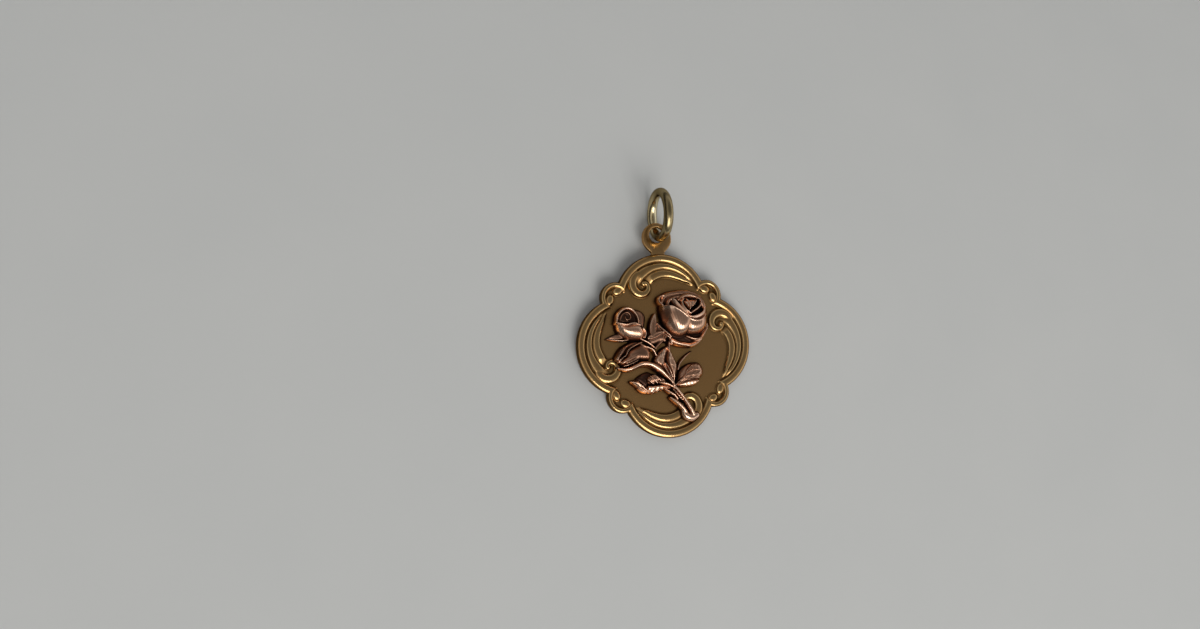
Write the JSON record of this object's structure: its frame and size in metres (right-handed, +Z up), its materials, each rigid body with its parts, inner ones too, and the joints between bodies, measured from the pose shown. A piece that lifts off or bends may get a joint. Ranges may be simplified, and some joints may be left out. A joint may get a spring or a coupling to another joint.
{
  "type": "pendant",
  "caption": "Small lobed gold pendant lying on its back, with a struck scroll rim, a raised rose-gold spray of roses, a lug and a jump ring.",
  "frame": {"origin": "on the surface that the pendant lies on, under the middle of its box", "axes": "+Z up, +Y from the plate towards the jump ring, +X to the right as the face is seen from above"},
  "size_m": [0.02, 0.027, 0.0059],
  "materials": {
    "gold": "struck yellow gold, satin field and polished high spots, toned dark in the grooves",
    "rose_gold": "struck rose gold, polished high spots, toned dark in the hollows",
    "pale_gold": "drawn wire, polished, lightly worn"
  },
  "bodies": {
    "root": {"plate": "gold", "rose_spray": "rose_gold", "jump_ring": "pale_gold"}
  },
  "joints": []
}
